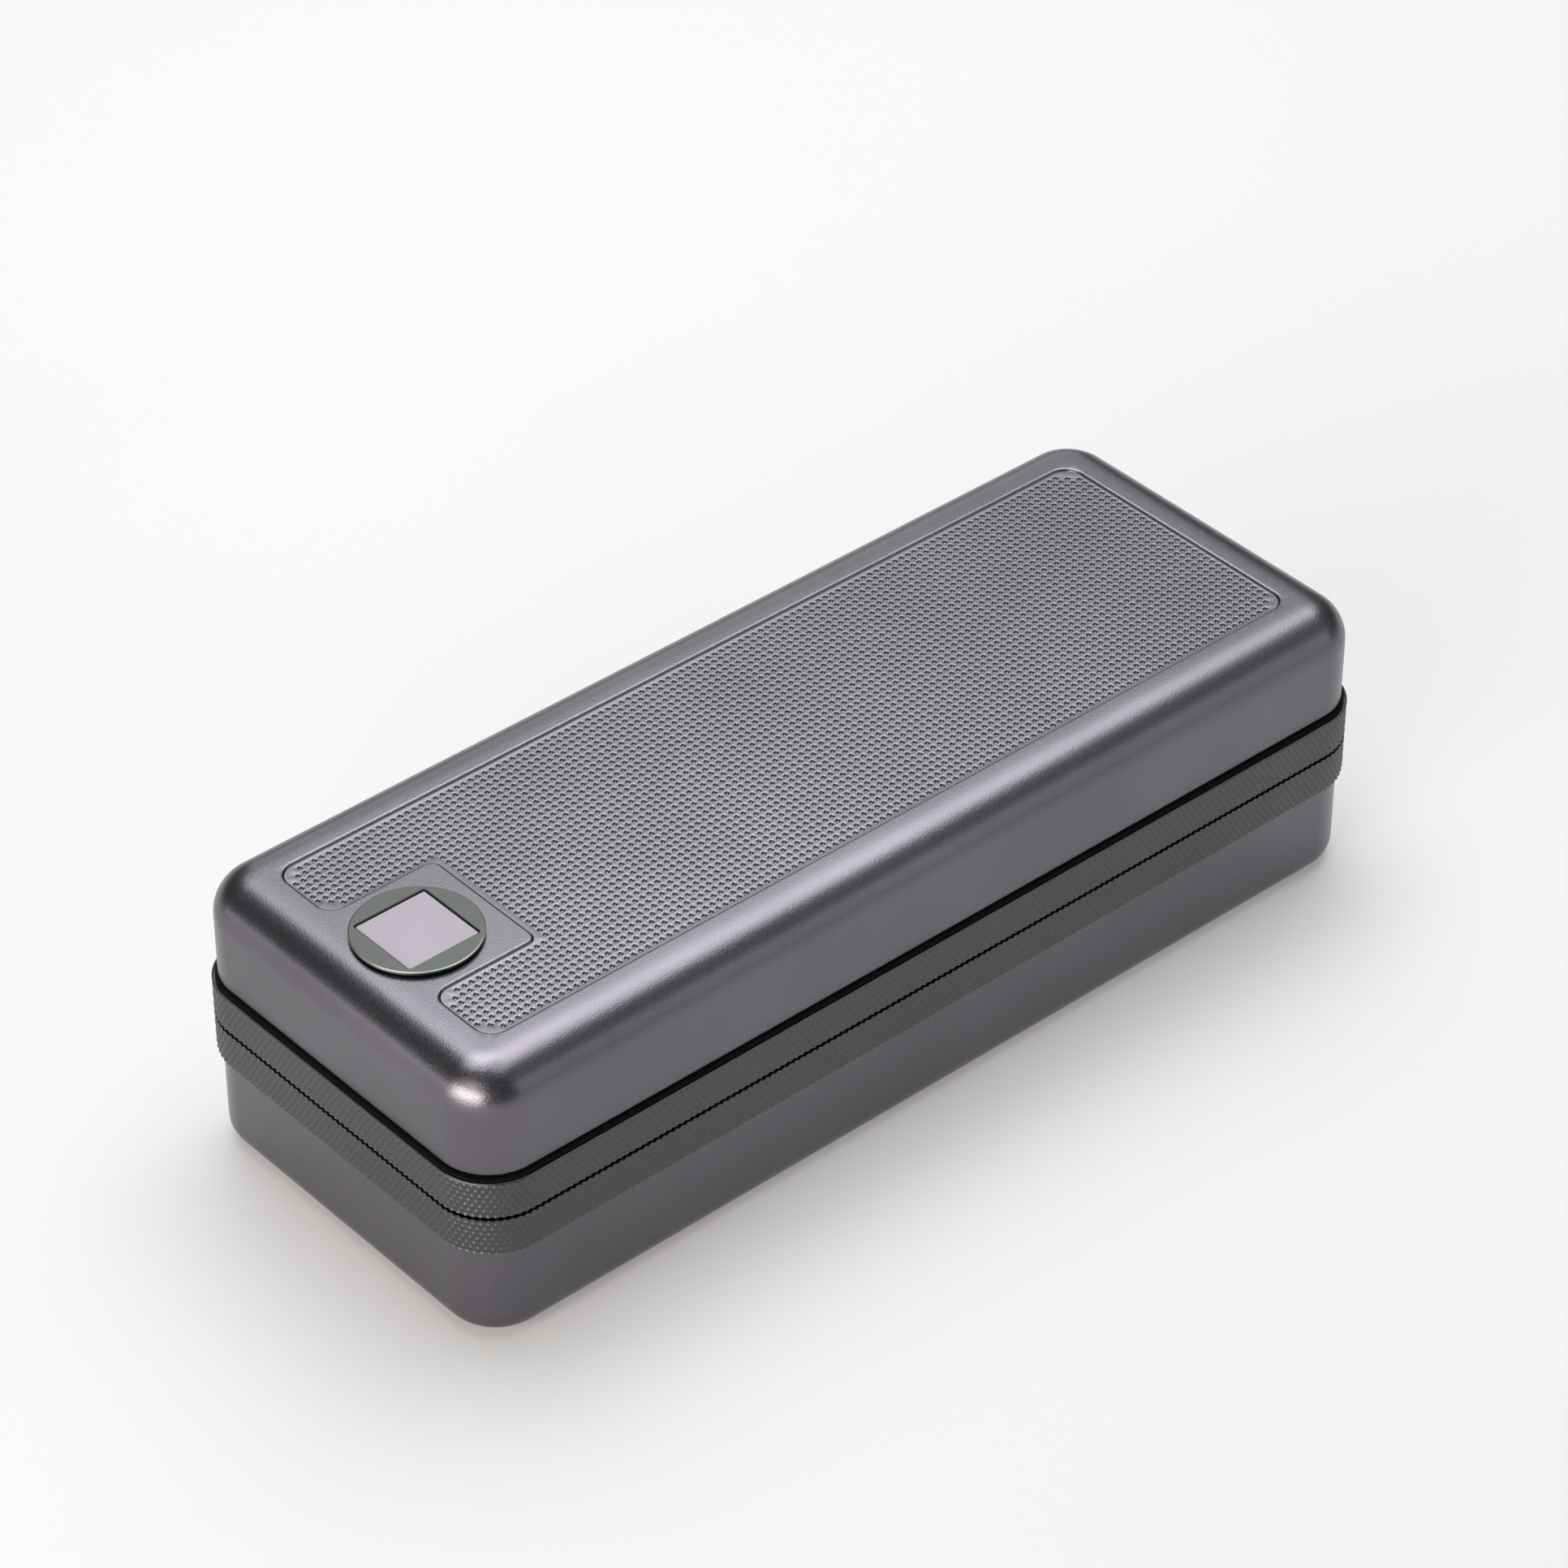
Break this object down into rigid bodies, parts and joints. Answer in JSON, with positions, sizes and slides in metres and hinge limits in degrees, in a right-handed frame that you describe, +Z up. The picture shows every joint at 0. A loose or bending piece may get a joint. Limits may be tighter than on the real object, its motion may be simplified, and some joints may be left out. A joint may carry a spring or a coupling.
{
  "type": "power bank",
  "caption": "Portable battery pack in rounded metal shells with a split knurled grip ring, a dimpled top panel, a round display button that presses in, and charging sockets at the far end.",
  "frame": {"origin": "centre of the whole object's footprint, on the surface it rests on", "axes": "+X along the length from the button end to the socket end, +Z up, +Y across"},
  "size_m": [0.16, 0.0622, 0.0445],
  "materials": {
    "shell_metal": "satin blasted and anodised, lilac grey",
    "ring_metal": "knurled, satin, darker green grey",
    "panel_metal": "satin, pressed with small round dimples",
    "cap_metal": "satin green grey with a bright cut edge",
    "window_plastic": "pale lilac, smooth, opaque when the display is off",
    "black_rubber": "matt black",
    "black_plastic": "fine texture",
    "steel": "bright, drawn",
    "nickel": "rolled nickel",
    "can_aluminium": "bright can",
    "circuit_board": "green solder mask",
    "pouch_film": "aluminium laminate film with sealed edges",
    "ferrite": "pressed ferrite, matt",
    "amber_film": "polyimide film",
    "foam": "closed-cell foam"
  },
  "bodies": {
    "casing": {"upper_shell": "shell_metal", "lower_shell": "shell_metal", "upper_grip_ring": "ring_metal", "lower_grip_ring": "ring_metal", "shadow_seal": "black_rubber", "rim_gasket": "black_rubber", "grip_panel": "panel_metal", "display_module": "black_plastic", "display_board": "circuit_board", "tact_switch_left": "black_plastic", "tact_switch_right": "black_plastic", "display_screw_1": "steel", "display_screw_2": "steel", "display_ribbon": "amber_film", "ribbon_connector": "black_plastic", "port_plate": "black_plastic", "usb_a_shell": "steel", "usb_a_tongue": "black_plastic", "usb_c_shell_1": "steel", "usb_c_tongue_1": "black_plastic", "usb_c_shell_2": "steel", "usb_c_tongue_2": "black_plastic", "main_board": "circuit_board", "inductor_1": "ferrite", "inductor_2": "ferrite", "capacitor_1": "can_aluminium", "capacitor_2": "can_aluminium", "charge_chip": "black_plastic", "power_chip": "black_plastic", "cell_1": "pouch_film", "cell_2": "pouch_film", "cell_3": "pouch_film", "cell_pad_1": "foam", "cell_pad_2": "foam", "top_pad_left": "foam", "top_pad_right": "foam", "battery_tray": "black_plastic", "tray_screw_1": "steel", "tray_screw_2": "steel", "tray_screw_3": "steel", "tray_screw_4": "steel", "protection_board": "circuit_board", "cell_1_tab_positive": "nickel", "cell_1_tab_negative": "nickel", "cell_2_tab_positive": "nickel", "cell_2_tab_negative": "nickel", "cell_3_tab_positive": "nickel", "cell_3_tab_negative": "nickel", "battery_strip_positive": "nickel", "battery_strip_negative": "nickel"},
    "button": {"button_cap": "cap_metal", "display_window": "window_plastic"},
    "plunger_left": {"switch_plunger_left": "steel"},
    "plunger_right": {"switch_plunger_right": "steel"}
  },
  "joints": [
    {"name": "button_press", "type": "slide", "parent": "casing", "child": "button", "axis": [0, 0, -1], "range_m": [0, 0.0004], "stiffness_N_per_m": 1500, "springref_m": -0.0006},
    {"name": "switch_press_left", "type": "slide", "parent": "casing", "child": "plunger_left", "axis": [0, 0, -1], "range_m": [0, 0.0004]},
    {"name": "switch_press_right", "type": "slide", "parent": "casing", "child": "plunger_right", "axis": [0, 0, -1], "range_m": [0, 0.0004]}
  ],
  "couplings": [
    {"joint": "switch_press_left", "follows": "button_press", "ratio": 1},
    {"joint": "switch_press_right", "follows": "button_press", "ratio": 1}
  ]
}
